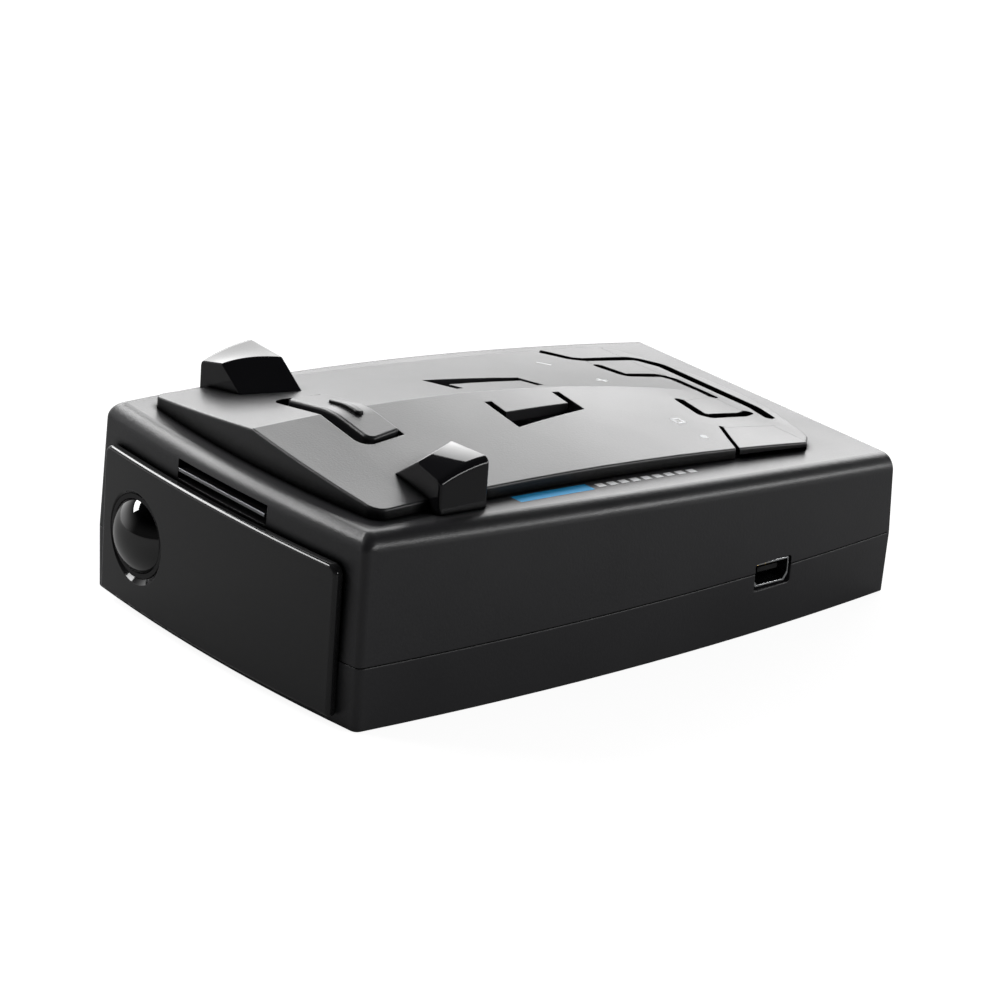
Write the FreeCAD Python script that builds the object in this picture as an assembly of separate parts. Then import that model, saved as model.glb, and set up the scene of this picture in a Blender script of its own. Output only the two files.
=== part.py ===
import FreeCAD, Part
import math
import os
from FreeCAD import Placement, Rotation
from FreeCAD import Vector as V

# A dashboard radar detector, in millimetres.
# +X is the right-hand side with the supply socket, -Y faces the road, +Z is up.
# The origin lies on the flat base, midway between the front and rear corners of the case.

# ---- Case: two shells that meet at a flat seam ----
case_length = 108.0          # corner to corner at the seam
case_width = 71.5            # at the widest place, at the seam
widest_y = -5.0              # where the bowed sides are furthest apart
side_radius = 500.0          # the bow of the two sides, in plan
front_radius = 300.0         # the bow of the front, in plan
front_bow = 1.8              # how far the middle of the front stands out from its corners
front_height = 30.7          # top of the case at the front corners
rear_height = 23.1           # top of the case at the rear corners
crown_radius = 1408.0        # gentle arch of the top, from front to rear
seam_height = 10.25
seam_gap = 0.15              # shadow line between the shells
draft = 1.5                  # degrees that the walls lean in, away from the seam
wall = 2.0
front_corner_radius = 1.3    # upright corners at the front
rear_corner_radius = 0.3     # and at the rear
top_edge_radius = 2.6        # top edge along the front and sides
rear_edge_radius = 0.3       # and along the rear
base_radius = 0.3            # edge around the base
lip_height = 1.4             # tongue of the lower shell inside the upper one
lip_clearance = 0.1

# ---- Raised plate: a roof with a ridge from front to rear ----
crest_rise = 5.45            # ridge above the case's front, level from the plate's front
crest_level = 13.0           # distance behind the front corners where the ridge starts to fall
crest_end = 11.0             # distance before the rear corners where the ridge has run out
plate_step = 1.3             # how far the plate's edge stands above the case
plate_wall = 1.8
plate_front = 3.85           # front corners of the case to the plate's front, at the ridge
plate_front_bow = 2.05       # how far the plate's front corners lie behind that
plate_front_half = 28.3      # half the plate's width at its front
plate_waist_half = 26.4      # half its width at the waist
plate_waist = -5.0           # where the waist is
plate_rear_half = 25.8       # half its width before the rear corners
plate_rear_corner = 14.0     # rear corners of the case to the plate's rear corners
plate_rear_cut = 2.6         # sides of the cut at each rear corner
plate_rear = 6.4             # rear corners of the case to the plate's rear, at the ridge
plate_corner_radius = 2.5
plate_edge_radius = 0.35

# ---- Speaker and the two bracket-shaped cut-outs over it ----
grille_front = -8.1
grille_rear = 8.3
grille_front_half = 12.0
grille_rear_half = 8.2
grille_bar_front = 4.6       # width of each side bar at its front end
grille_bar_rear = 2.7        # and at its rear end
grille_arm = 1.4             # depth of the arms that turn in at both ends
grille_arm_front = 3.4       # where the front arms stop, from the middle
grille_arm_rear = 1.8        # where the rear arms stop
speaker_radius = 14.0
speaker_drop = 1.75          # inside of the case top to the speaker's rim
speaker_rim = 1.6
speaker_depth = 4.2
cloth_thickness = 0.3
magnet_radius = 6.5
magnet_height = 2.4

# ---- Keys, cut free of the plate by slots ----
slot_widths = (1.9, 1.9, 1.8, 0.75)    # first to fourth
hairline = 0.04              # gap where a key parts from the plate with no slot
swing_gap = 0.12             # added where such a gap faces a key's front, which swings forward
key_hinge = 13.5             # rear corners of the case to the keys' hinge line
key_lift = 0.6               # space under a key's cap
key_stem_ahead = 7.0         # hinge line to the stems
key_stem_radius = 1.2
key_stem_reach = 0.23        # how far the stems come through the case top
key_stem_x = (-22.2, -13.4, 8.0, 21.4)
slot_outer = 18.5            # upright run of the first slot, from the middle
slot_inner = 8.7             # upright run of the second slot
switch_side = 4.0
switch_height = 1.5
switch_button_radius = 1.0
switch_button_height = 0.9
switch_gap = 0.35            # free travel between a stem and its switch
key_board_thickness = 1.2
key_board_ahead = 5.0        # stems to the board's front edge
key_board_behind = 6.0
key_post_behind = 2.5        # stems to the two posts that carry the board
key_post_x = (-4.0, 15.0)
key_post_radius = 1.8

# ---- Release tab ----
tab_rear = 25.2              # front corners of the case to the tab's hinge groove
tab_depth = 6.6
tab_middle = -1.0            # its middle lies a little to the left
tab_front_half = 10.8
tab_rear_half = 9.3
tab_proud = 0.35
tab_thickness = 2.2
tab_slot = 2.0               # open slot along the tab's front
tab_groove = 0.25            # groove along its rear
tab_edge_radius = 0.5
tab_ridge_radius = 18.0        # softens the ridge across the tab
tab_rib_half = 3.8
tab_rib_width = 1.4
tab_rib_height = 0.55
tab_rib_edge = 0.25
tab_rib_ridge_radius = 12.0
tab_pin_radius = 0.7
tab_pin_clearance = 0.1
tab_pivot_drop = 3.4         # ridge to the pivot
tab_pivot_ahead = 1.5        # hinge groove to the pivot
tab_ear = 1.2
tab_side_gap = 1.2           # plate's cut-out to the tab, at each side
tab_corner_radius = 1.5
tab_slot_radius = 2.2
tab_barrel_radius = 1.2
tab_leg_half = 2.5
tab_leg_depth = 1.8
tab_hook_reach = 2.6         # tab's front to the tip of its hook
tab_hook_height = 0.7
tab_leg_clearance = 0.5
tab_rib_behind = 0.4         # middle of the tab to the rib

# ---- Bracket slot ----
bracket_half = 11.2
bracket_drop = 2.1           # case's front height to the slot's top
bracket_opening = 3.1        # height of the slot
guide_thickness = 1.0
guide_depth = 25.0
guide_side_gap = 0.3         # side of the slot to the guide's wall
guide_front_gap = 0.4
guide_top_gap = 0.05
leaf_set_back = 0.45         # front of the case to the leaf's free edge
leaf_foot = 3.5              # free edge to the start of the leaf's lower run
leaf_side_gap = 0.4
leaf_thickness = 0.5
leaf_rise = 1.75             # floor of the slot to the leaf's upper run
leaf_depth = 10.0

# ---- Side fins ----
fin_front = 16.0             # front corners of the case to a fin's front
fin_rear = 25.2              # and to its rear
fin_bulge = (-0.25, 0.45)    # of its top, at the inner and outer ends
# Each corner below is (distance from the middle, height above the ridge).
fin_top_front = (30.1, -0.8)
fin_top_rear = (30.1, 1.55)
fin_brow_front = (24.4, 0.55)     # where the inner slope meets the top, at the front
fin_brow_rear = (21.0, 1.1)       # and at the rear
fin_foot_front = (19.4, -2.95)    # where the inner slope meets the plate, at the front
fin_edge_radius = 1.2
fin_upright_radius = 0.5
fin_rim_radius = 0.25        # the other edges of its top

# ---- Front window and lens ----
window_half = 29.2
window_low = 1.5
window_margin = 0.2          # top of the window to the bracket slot
window_proud = 1.6
window_back = 0.15           # gap behind the panel at the seam
window_corner = 1.6          # upper corners
window_foot_corner = 0.5     # lower corners
window_edge = 0.65
aperture_half = 27.5
aperture_sill = 3.0          # edge of the window to the opening behind it
fit = 0.15                   # clearance of a piece that drops into its seat
press_gap = 0.02             # clearance of a round piece pressed into its bore
window_rib = 0.75
window_rib_depth = 2.6
lens_x = -19.8
lens_drop = 0.2              # middle of the window to the lens's axis
lens_radius = 5.9
lens_dome = 2.9              # height of the dome over its rim
lens_set_back = 0.7          # rim of the dome below the panel's surface
ring_thickness = 0.8
ring_length = 5.0
ring_bevel = 0.7
ring_lip = 0.1               # ring ahead of the dome's rim
ring_stop = 1.2              # width of the step that the lens rests on
sensor_gap = 6.0             # ring to the sensor's board
sensor_radius = 2.3
sensor_depth = 3.0

# ---- Supply socket ----
socket_y = 26.5
socket_z = 9.55
socket_width = 7.7
socket_height = 3.9
socket_foot_width = 6.0
socket_wall = 0.3
socket_length = 9.0
socket_set_back = 0.6
socket_hole_margin = 0.3     # around the metal shell
socket_hole_radius = 0.5

# ---- Inside ----
board_top = socket_z - socket_height / 2
board_thickness = 1.6
board_margin = 1.2           # inside of the case to the board's edge
post_radius = 2.6
post_x = 29.4
front_post = 14.0            # front corners of the case to the front posts
rear_post = 7.6
screw_radius = 1.0
screw_clearance = 0.2
screw_grip = 0.02
screw_head_radius = 2.0
screw_head_height = 1.3
screw_recess = 3.0
screw_length = 14.0
board_post_x = 22.0
board_post_y = 24.0
board_post_radius = 2.2
board_screw_length = 5.0
board_screw_head = 1.7       # radius of the head
board_screw_height = 0.9     # height of the head
horn_x = 8.0
horn_mouth_width = 34.0
horn_lift = 0.4
horn_gap = 0.1               # top of the horn to the bracket channel
horn_throat = (18.0, 9.0)
horn_length = 26.0
horn_wall = 1.0
horn_set_back = 4.0          # front of the case to the horn's mouth
mixer_width = 22.0
mixer_length = 17.0
mixer_gap = 1.5              # top of the block to the speaker
shield_size = (26.0, 20.0, 3.2)
shield_corner = (-8.0, 8.0)
shield_wall = 0.4
display_half = 19.0
display_corner = 1.0
display_sill = 1.55          # seam to the display window
display_drop = 3.3           # rear height to the display window's top
display_thickness = 1.4
display_set_back = 0.2
display_ledge = 1.2
display_module_depth = 4.0
ribbon_x = (-17.0, -10.0)
ribbon_thickness = 0.3
ribbon_bend = 2.0
ribbon_foot = 6.0
chip_height = 1.6
label_half = 18.0
label_length = 24.0
label_start = 8.0
label_depth = 0.3

front_y = -case_length / 2
rear_y = case_length / 2
half_width = case_width / 2
nose_y = front_y - front_bow
board_low = board_top - board_thickness
board_screw = (board_screw_length, board_screw_head, board_screw_height)
crest_height = front_height + crest_rise
bracket_top = front_height - bracket_drop
bracket_floor = bracket_top - bracket_opening
leaf_top = bracket_floor + leaf_rise
window_high = bracket_floor - window_margin
aperture_low = window_low + aperture_sill
aperture_high = window_high - aperture_sill
lens_z = (window_low + window_high) / 2 - lens_drop
display_low = seam_height + display_sill
display_high = rear_height - display_drop
far = 2 * case_length
overlap = 0.2                # depth that a fused feature reaches into its neighbour
lean = math.tan(math.radians(draft))
up = V(0, 0, 1)


# ---- Small makers ----

def box(x, y, z):
    # A box from three (low, high) pairs.
    return Part.makeBox(x[1] - x[0], y[1] - y[0], z[1] - z[0], V(x[0], y[0], z[0]))


def post(x, y, z, radius):
    return Part.makeCylinder(radius, z[1] - z[0], V(x, y, z[0]), up)


def rounded_path(points, closed):
    # Straight runs through (x, y, radius) points, each corner an arc of its radius.
    count = len(points)
    starts = []
    ends = []
    arcs = []
    for i, (x, y, radius) in enumerate(points):
        here = V(x, y, 0)
        inner = closed or 0 < i < count - 1
        if radius == 0 or not inner:
            starts.append(here)
            ends.append(here)
            arcs.append(None)
            continue
        before = V(*points[i - 1][:2], 0) - here
        after = V(*points[(i + 1) % count][:2], 0) - here
        before.normalize()
        after.normalize()
        half = before.getAngle(after) / 2
        reach = radius / math.tan(half)
        middle = before + after
        middle.normalize()
        apex = here + middle * (radius / math.sin(half) - radius)
        starts.append(here + before * reach)
        ends.append(here + after * reach)
        arcs.append(apex)
    edges = []
    for i in range(count):
        if arcs[i] is not None:
            edges.append(Part.Arc(starts[i], arcs[i], ends[i]).toShape())
        follower = (i + 1) % count
        if follower == 0 and not closed:
            continue
        if ends[i].distanceToPoint(starts[follower]) > 1e-6:
            edges.append(Part.makeLine(ends[i], starts[follower]))
    return Part.Wire(edges)


def prism(wire, z):
    # The region inside a plan outline, between two heights.
    face = Part.Face(wire)
    face.translate(V(0, 0, z[0]))
    return face.extrude(V(0, 0, z[1] - z[0]))


def rounded_bar(x, z, radii, y):
    # A rectangle in the XZ plane with (lower, upper) corner radii, drawn out along Y.
    lower, upper = radii
    corners = [(x[0], z[0], lower), (x[1], z[0], lower), (x[1], z[1], upper), (x[0], z[1], upper)]
    wire = rounded_path(corners, True)
    bar = prism(wire, (0, y[1] - y[0]))
    bar.Placement = Placement(V(0, y[1], 0), Rotation(V(1, 0, 0), 90))
    return bar


def along_x(points, x):
    # A straight-sided outline in the YZ plane, drawn out along X.
    corners = [V(x[0], y, z) for y, z in points]
    face = Part.Face(Part.makePolygon(corners + corners[:1]))
    return face.extrude(V(x[1] - x[0], 0, 0))


def rod_along_x(radius, half, y, z):
    return Part.makeCylinder(radius, 2 * half, V(-half, y, z), V(1, 0, 0))


def rod_along_y(radius, length, start):
    return Part.makeCylinder(radius, length, start, V(0, 1, 0))


def beyond(point, normal):
    # The space on the side of a plane that its normal points to.
    block = box((-far, far), (-far, far), (0, far))
    block.Placement = Placement(point, Rotation(up, normal))
    return block


def rounded(shape, radii):
    # All the fillets of one shape at once, from (radius, edges) pairs.
    document = FreeCAD.newDocument()
    base = document.addObject("Part::Feature", "Base")
    base.Shape = shape
    fillet = document.addObject("Part::Fillet", "Fillet")
    fillet.Base = base
    picked = []
    for number, edge in enumerate(base.Shape.Edges, 1):
        for radius, edges in radii:
            if any(edge.isSame(other) for other in edges):
                picked.append((number, radius, radius))
    fillet.Edges = picked
    document.recompute()
    result = fillet.Shape.copy()
    FreeCAD.closeDocument(document.Name)
    return result


def middle_of(edge):
    return edge.valueAt((edge.FirstParameter + edge.LastParameter) / 2)


def joined(first, rest):
    return first.fuse(rest).removeSplitter()


def mirrored(shape):
    return shape.mirror(V(0, 0, 0), V(1, 0, 0))


# ---- Shared surfaces ----

def crown_centre():
    rise = rear_height - front_height
    chord = math.hypot(case_length, rise)
    depth = math.sqrt(crown_radius ** 2 - chord ** 2 / 4)
    return depth * rise / chord, (front_height + rear_height) / 2 - depth * case_length / chord


crown_y, crown_z = crown_centre()


def top_z(y, lift=0.0):
    # Height of the case top, or of a surface lifted off it.
    return crown_z + math.sqrt((crown_radius + lift) ** 2 - (y - crown_y) ** 2)


def below_top(lift=0.0):
    start = V(-far / 2, crown_y, crown_z)
    return Part.makeCylinder(crown_radius + lift, far, start, V(1, 0, 0))


def walls(z, inset=0.0):
    # Everything inside the four outer walls moved in by inset, between two heights.
    low = inset + abs(z[0] - seam_height) * lean
    high = inset + abs(z[1] - seam_height) * lean
    outline = [(-far, z[0]), (rear_y - low, z[0]), (rear_y - high, z[1]), (-far, z[1])]
    block = along_x(outline, (-case_width, case_width))
    bows = [
        (V(half_width - side_radius, widest_y, z[0]), side_radius),
        (V(side_radius - half_width, widest_y, z[0]), side_radius),
        (V(0, nose_y + front_radius, z[0]), front_radius),
    ]
    for centre, radius in bows:
        cone = Part.makeCone(radius - low, radius - high, z[1] - z[0], centre, up)
        block = block.common(cone)
    return block


def side_x(y, z):
    # The right-hand wall's outer face.
    radius = side_radius - abs(z - seam_height) * lean
    return half_width - side_radius + math.sqrt(radius ** 2 - (y - widest_y) ** 2)


crest_level_y = front_y + crest_level
crest_end_y = rear_y - crest_end
crest_fall = crest_height - top_z(crest_end_y, plate_step)
crest_run = crest_end_y - crest_level_y
crest_radius = (crest_run ** 2 + crest_fall ** 2) / (2 * crest_fall)


def ridge_z(y):
    if y <= crest_level_y:
        return crest_height
    if y >= crest_end_y:
        return top_z(y, plate_step)
    drop = crest_radius - math.sqrt(crest_radius ** 2 - (y - crest_level_y) ** 2)
    return crest_height - drop


def eave_z(y):
    return top_z(y, plate_step)


def roof_section(x, height, lift):
    # One upright slice through the roof, from well ahead of the plate to well behind it.
    marks = (nose_y - wall, crest_level_y, crest_end_y, rear_y + wall)
    tops = [V(x, y, height(y) + lift) for y in marks]
    edges = [Part.makeLine(V(x, marks[0], 0), tops[0])]
    for i in range(3):
        middle_y = (marks[i] + marks[i + 1]) / 2
        middle = V(x, middle_y, height(middle_y) + lift)
        straight = (tops[i] + tops[i + 1]) / 2
        if middle.distanceToPoint(straight) < 1e-6:
            edges.append(Part.makeLine(tops[i], tops[i + 1]))
        else:
            edges.append(Part.Arc(tops[i], middle, tops[i + 1]).toShape())
    edges.append(Part.makeLine(tops[3], V(x, marks[3], 0)))
    edges.append(Part.makeLine(V(x, marks[3], 0), V(x, marks[0], 0)))
    return Part.Wire(edges)


def roof(lift=0.0):
    # The solid under both slopes of the plate, lifted or sunk by lift.
    eave = plate_front_half + plate_corner_radius
    sections = [roof_section(0, ridge_z, lift), roof_section(eave, eave_z, lift)]
    right = Part.makeLoft(sections, True, True)
    return right.fuse(mirrored(right))


def slope_z(x, y):
    eave = plate_front_half + plate_corner_radius
    return eave_z(y) + (ridge_z(y) - eave_z(y)) * (1 - abs(x) / eave)


# ---- Case shells ----

upper_low = seam_height + seam_gap
speaker_top = top_z(0) - wall - speaker_drop
case_top = (upper_low, front_height + crest_level)
screw_places = []
for post_y in (front_y + front_post, rear_y - rear_post):
    for side in (-1, 1):
        screw_places.append((side * post_x, post_y))
board_places = []
for place_y in (-board_post_y, board_post_y):
    for side in (-1, 1):
        board_places.append((side * board_post_x, place_y))
key_stem_y = rear_y - key_hinge - key_stem_ahead
key_stem_end = top_z(key_stem_y) - wall - key_stem_reach
key_board_top = key_stem_end - switch_gap - switch_height - switch_button_height
key_post_places = [(x, key_stem_y + key_post_behind) for x in key_post_x]


def grille_cut():
    # Two cut-outs like facing brackets around a flush square in the middle of the plate.
    def half_at(y, front_half, rear_half):
        share = (y - grille_front) / (grille_rear - grille_front)
        return front_half + (rear_half - front_half) * share

    inner_front = grille_front + grille_arm
    inner_rear = grille_rear - grille_arm
    points = [
        (grille_arm_front, grille_front),
        (grille_front_half, grille_front),
        (grille_rear_half, grille_rear),
        (grille_arm_rear, grille_rear),
        (grille_arm_rear, inner_rear),
        (half_at(inner_rear, grille_front_half, grille_rear_half) - grille_bar_rear, inner_rear),
        (half_at(inner_front, grille_front_half, grille_rear_half) - grille_bar_front, inner_front),
        (grille_arm_front, inner_front),
    ]
    wire = rounded_path([(x, y, 0.0) for x, y in points], True)
    right = prism(wire, (speaker_top, crest_height + wall))
    return right.fuse(mirrored(right))


def socket_hole():
    x = side_x(socket_y, socket_z)
    half = socket_width / 2 + socket_hole_margin / 2
    tall = socket_height / 2 + socket_hole_margin
    hole = rounded_bar((-half, half), (-tall, tall), 2 * (socket_hole_radius,), (0, 3 * wall))
    turn = Placement(V(x - 2 * wall, socket_y, socket_z), Rotation(up, -90))
    hole.Placement = turn.multiply(hole.Placement)
    return hole


def tab_outline(front, front_half, rear, rear_half, radius):
    points = [
        (tab_middle - front_half, front, radius),
        (tab_middle + front_half, front, radius),
        (tab_middle + rear_half, rear, 0),
        (tab_middle - rear_half, rear, 0),
    ]
    return rounded_path(points, True)


tab_rear_y = front_y + tab_rear
tab_front_y = tab_rear_y - tab_depth
tab_pivot_y = tab_rear_y - tab_pivot_ahead
tab_pivot_z = crest_height - tab_pivot_drop
guide_rear_y = front_y + guide_depth
leg_y = (tab_front_y + tab_side_gap, tab_front_y + tab_side_gap + tab_leg_depth)
hook_front_y = tab_front_y - tab_hook_reach


def display_seat(grow, y):
    low = display_low - grow
    high = display_high + grow
    return rounded_bar((-display_half - grow, display_half + grow), (low, high), 2 * (display_corner,), y)


def shell_openings():
    # What both shells are cut by.
    aperture_x = (-aperture_half, aperture_half)
    seat_y = (rear_y - display_thickness - display_set_back - case_top[0] * lean, rear_y + wall)
    cuts = [
        box(aperture_x, (nose_y - wall, front_y + 2 * wall), (aperture_low, aperture_high)),
        socket_hole(),
        display_seat(fit, seat_y),
        display_seat(-display_ledge, (rear_y - 2 * wall, rear_y + wall)),
    ]
    return cuts[0].multiFuse(cuts[1:])


def make_upper_shell():
    shell = walls(case_top).common(below_top())
    rim = upper_low + wall
    high = [edge for edge in shell.Edges if edge.BoundBox.ZMax > rim]
    uprights = [edge for edge in high if edge.BoundBox.ZMin < rim]
    front = [edge for edge in uprights if edge.BoundBox.YMax < 0]
    rear = [edge for edge in uprights if edge.BoundBox.YMin > 0]
    tops = [edge for edge in high if edge.BoundBox.ZMin > rim]
    rear_top = [edge for edge in tops if edge.BoundBox.YMin > rear_y - wall]
    others = [edge for edge in tops if edge.BoundBox.YMin < rear_y - wall]
    shell = rounded(shell, [(front_corner_radius, front), (rear_corner_radius, rear),
                            (rear_edge_radius, rear_top), (top_edge_radius, others)])
    hollow = walls((upper_low - wall, case_top[1]), wall).common(below_top(-wall))
    shell = shell.cut(hollow)
    shell = shell.cut(walls((upper_low - wall, seam_height + lip_height + lip_clearance), wall / 2))
    shell = shell.cut(shell_openings())
    inside = below_top(-wall + overlap)
    posts = []
    for x, y in screw_places:
        column = post(x, y, (upper_low, front_height), post_radius)
        posts.append(column.common(inside).common(walls(case_top, wall / 2)))
    for x, y in key_post_places:
        posts.append(post(x, y, (key_board_top, front_height), key_post_radius).common(inside))
    ring = post(0, 0, (speaker_top + cloth_thickness, front_height), speaker_radius + 1.0)
    ring = ring.cut(post(0, 0, (0, front_height), speaker_radius - 1.2)).common(inside)
    shell = shell.fuse(posts + [ring])
    cuts = [grille_cut()]
    slot_x = (-bracket_half, bracket_half)
    cuts.append(box(slot_x, (nose_y - wall, front_y + wall), (bracket_floor, bracket_top)))
    leg_hole_x = (-tab_leg_half - tab_leg_clearance, tab_leg_half + tab_leg_clearance)
    leg_hole_y = (leg_y[0] - tab_leg_clearance, leg_y[1] + 3 * tab_leg_clearance)
    cuts.append(box(leg_hole_x, leg_hole_y, (bracket_top - wall, front_height)))
    for x in key_stem_x:
        cuts.append(post(x, key_stem_y, (0, front_height), key_stem_radius + 0.4))
    for x, y in screw_places:
        cuts.append(post(x, y, (0, screw_recess + screw_length + 1.0), screw_radius + screw_grip))
    for x, y in key_post_places:
        depth = board_screw_length - key_board_thickness + 0.5
        cuts.append(post(x, y, (0, key_board_top + depth), screw_radius + screw_grip))
    return shell.cut(cuts).removeSplitter()


def make_lower_shell():
    shell = walls((0, seam_height))
    uprights = [edge for edge in shell.Edges if edge.BoundBox.ZLength > seam_height / 2]
    front = [edge for edge in uprights if edge.BoundBox.YMax < 0]
    rear = [edge for edge in uprights if edge.BoundBox.YMin > 0]
    around = [edge for edge in shell.Edges if edge.BoundBox.ZMax < base_radius]
    shell = rounded(shell, [(front_corner_radius, front), (rear_corner_radius, rear),
                            (base_radius, around)])
    shell = shell.cut(walls((wall, seam_height + wall), wall))
    lip = walls((seam_height - overlap, seam_height + lip_height), wall / 2 + lip_clearance)
    lip = lip.cut(walls((seam_height - 1, seam_height + 2 * lip_height), wall))
    posts = []
    for x, y in screw_places:
        column = post(x, y, (overlap, seam_height), post_radius)
        posts.append(column.common(walls((0, seam_height), wall / 2)))
    for x, y in board_places:
        posts.append(post(x, y, (wall - overlap, board_low), board_post_radius))
    shell = shell.fuse([lip] + posts)
    cuts = [shell_openings()]
    for x, y in screw_places:
        cuts.append(post(x, y, (0, 2 * seam_height), screw_radius + screw_clearance))
        cuts.append(post(x, y, (0, screw_recess), screw_head_radius + screw_clearance))
        cuts.append(post(x, y, (seam_height, 2 * seam_height), post_radius + lip_clearance))
    for x, y in board_places:
        cuts.append(post(x, y, (wall, seam_height), screw_radius + screw_grip))
    label_y = (label_start, label_start + label_length)
    cuts.append(box((-label_half, label_half), label_y, (0, label_depth)))
    return shell.cut(cuts).removeSplitter()


# ---- Raised plate and its keys ----

def plate_outline():
    front = front_y + plate_front
    shoulder = front + plate_front_bow
    corner_y = rear_y - plate_rear_corner
    rear = rear_y - plate_rear
    half = plate_front_half
    side_start = V(half, shoulder, 0)
    side_end = V(plate_rear_half, corner_y, 0)
    cut_end = V(plate_rear_half - plate_rear_cut, corner_y + plate_rear_cut, 0)

    def flip(point):
        return V(-point.x, point.y, 0)

    edges = [
        Part.Arc(flip(side_start), V(0, front, 0), side_start).toShape(),
        Part.Arc(side_start, V(plate_waist_half, plate_waist, 0), side_end).toShape(),
        Part.makeLine(side_end, cut_end),
        Part.Arc(cut_end, V(0, rear, 0), flip(cut_end)).toShape(),
        Part.makeLine(flip(cut_end), flip(side_end)),
        Part.Arc(flip(side_end), V(-plate_waist_half, plate_waist, 0), flip(side_start)).toShape(),
    ]
    return Part.Wire(edges)


def plate_body():
    # The plate before anything is cut from it.
    block = prism(plate_outline(), (rear_height - 2 * wall, crest_height + wall))
    uprights = []
    for edge in block.Edges:
        if edge.BoundBox.ZLength > wall and edge.BoundBox.YMax < 0:
            uprights.append(edge)
    block = block.makeFillet(plate_corner_radius, uprights)
    block = block.common(roof()).removeSplitter()
    rim = []
    for edge in block.Edges:
        middle = middle_of(edge)
        on_roof = abs(middle.z - slope_z(middle.x, middle.y)) < 0.02
        on_ridge = abs(middle.x) < 0.01 and edge.BoundBox.YLength > 1
        inside = edge.BoundBox.XLength < 0.01
        if on_roof and not on_ridge and not inside:
            rim.append(edge)
    return block.makeFillet(plate_edge_radius, rim)


def slot_ribbon(points, width):
    # A round-ended slot along a path.
    path = rounded_path(points, False)
    return prism(path.makeOffset2D(width / 2), (rear_height - 2 * wall, crest_height))


def parting_strip(start, end):
    # What is taken off a key's front where it runs on past its slot.
    reach = hairline + swing_gap
    away = V(start[1] - end[1], end[0] - start[0], 0)
    away.normalize()
    corners = [(*start, 0), (*end, 0), (end[0] + reach * away.x, end[1] + reach * away.y, 0),
               (start[0] + reach * away.x, start[1] + reach * away.y, 0)]
    return prism(rounded_path(corners, True), (rear_height - 2 * wall, crest_height))


hinge_y = rear_y - key_hinge
slot_back_y = hinge_y + 3.9
key_side = plate_front_half + wall

# Each slot is a path of (x, y, corner radius) points.
slot_paths = [
    [(-key_side, hinge_y - 15.5, 0), (-19.6, hinge_y - 11.3, 2.0), (-slot_outer, hinge_y - 9.2, 1.0),
     (-slot_outer, hinge_y + 1.5, 2.5), (-14.4, slot_back_y, 4.0), (8.6, slot_back_y, 6.0),
     (13.3, hinge_y + 2.8, 0)],
    [(-14.4, hinge_y - 9.6, 0), (-8.4, hinge_y - 9.1, 0.6), (-slot_inner, hinge_y - 1.3, 1.5),
     (-6.6, hinge_y, 1.5), (2.7, hinge_y, 0)],
    [(5.7, hinge_y - 9.7, 0), (11.8, hinge_y - 10.5, 0.4), (12.7, hinge_y - 9.5, 0.6),
     (12.1, hinge_y - 2.0, 0.8), (11.0, hinge_y + 0.3, 0)],
    [(17.35, hinge_y - 11.3, 0), (21.7, hinge_y - 13.5, 6.0), (key_side, hinge_y - 17.4, 0)],
]
# Each key is what the plate holds inside one of these outlines, slots apart.
key_regions = [
    [(-key_side, hinge_y - 15.5), (-19.6, hinge_y - 11.3), (-slot_outer, hinge_y - 9.2),
     (-slot_outer, hinge_y), (-key_side, hinge_y)],
    [(-slot_outer, hinge_y - 9.6), (-14.4, hinge_y - 9.6), (-8.4, hinge_y - 9.1),
     (-slot_inner, hinge_y), (-slot_outer, hinge_y)],
    [(5.7, hinge_y - 9.7), (11.8, hinge_y - 10.5), (12.7, hinge_y - 9.5),
     (12.1, hinge_y - 2.0), (11.2, hinge_y), (2.7, hinge_y)],
    [(17.35, hinge_y - 11.3), (21.7, hinge_y - 13.5), (key_side, hinge_y - 17.4),
     (key_side, hinge_y), (17.35, hinge_y)],
]


def key_region(points, inset):
    wire = rounded_path([(x, y, 0.0) for x, y in points], True)
    if inset:
        wire = wire.makeOffset2D(-inset)
    return prism(wire, (rear_height - 2 * wall, crest_height))


def make_plate_and_keys():
    block = plate_body()
    ribbons = [slot_ribbon(points, width) for points, width in zip(slot_paths, slot_widths)]
    # The second key's front runs on past its slot, as far as the first slot.
    swing = parting_strip(key_regions[1][0], key_regions[1][1])
    keys = []
    stem_z = (key_stem_end, top_z(key_stem_y, key_lift) + overlap)
    for points, stem_x in zip(key_regions, key_stem_x):
        cap = block.common(key_region(points, hairline)).cut(below_top(key_lift)).cut(ribbons + [swing])
        keys.append(joined(cap, post(stem_x, key_stem_y, stem_z, key_stem_radius)))
    plate = block.cut(below_top())
    inner = plate_outline().makeOffset2D(-plate_wall)
    pocket = prism(inner, (rear_height - 2 * wall, crest_height)).common(roof(-plate_wall))
    plate = plate.cut(pocket)
    ears = []
    slot_ear_x = tab_rear_half + tab_side_gap
    for side in (-1, 1):
        ear_x = sorted((tab_middle + side * slot_ear_x, tab_middle + side * (slot_ear_x + tab_ear)))
        ear = box(ear_x, (tab_pivot_y - 1.6, tab_pivot_y + 1.6), (tab_pivot_z - 1.7, crest_height))
        ears.append(ear.common(roof(-plate_wall + overlap)))
    plate = plate.fuse(ears)
    cuts = ribbons + [key_region(points, 0.0) for points in key_regions]
    cuts.append(grille_cut())
    slot = tab_outline(tab_front_y - tab_slot, tab_front_half + tab_side_gap,
                       tab_rear_y + tab_groove, tab_rear_half + tab_side_gap, tab_slot_radius)
    cuts.append(prism(slot, (front_height - wall, crest_height + wall)))
    pin_hole = rod_along_x(tab_pin_radius + tab_pin_clearance, slot_ear_x + tab_ear, tab_pivot_y, tab_pivot_z)
    cuts.append(pin_hole.translated(V(tab_middle, 0, 0)))
    plate = plate.cut(cuts).removeSplitter()
    return plate, keys, block


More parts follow.
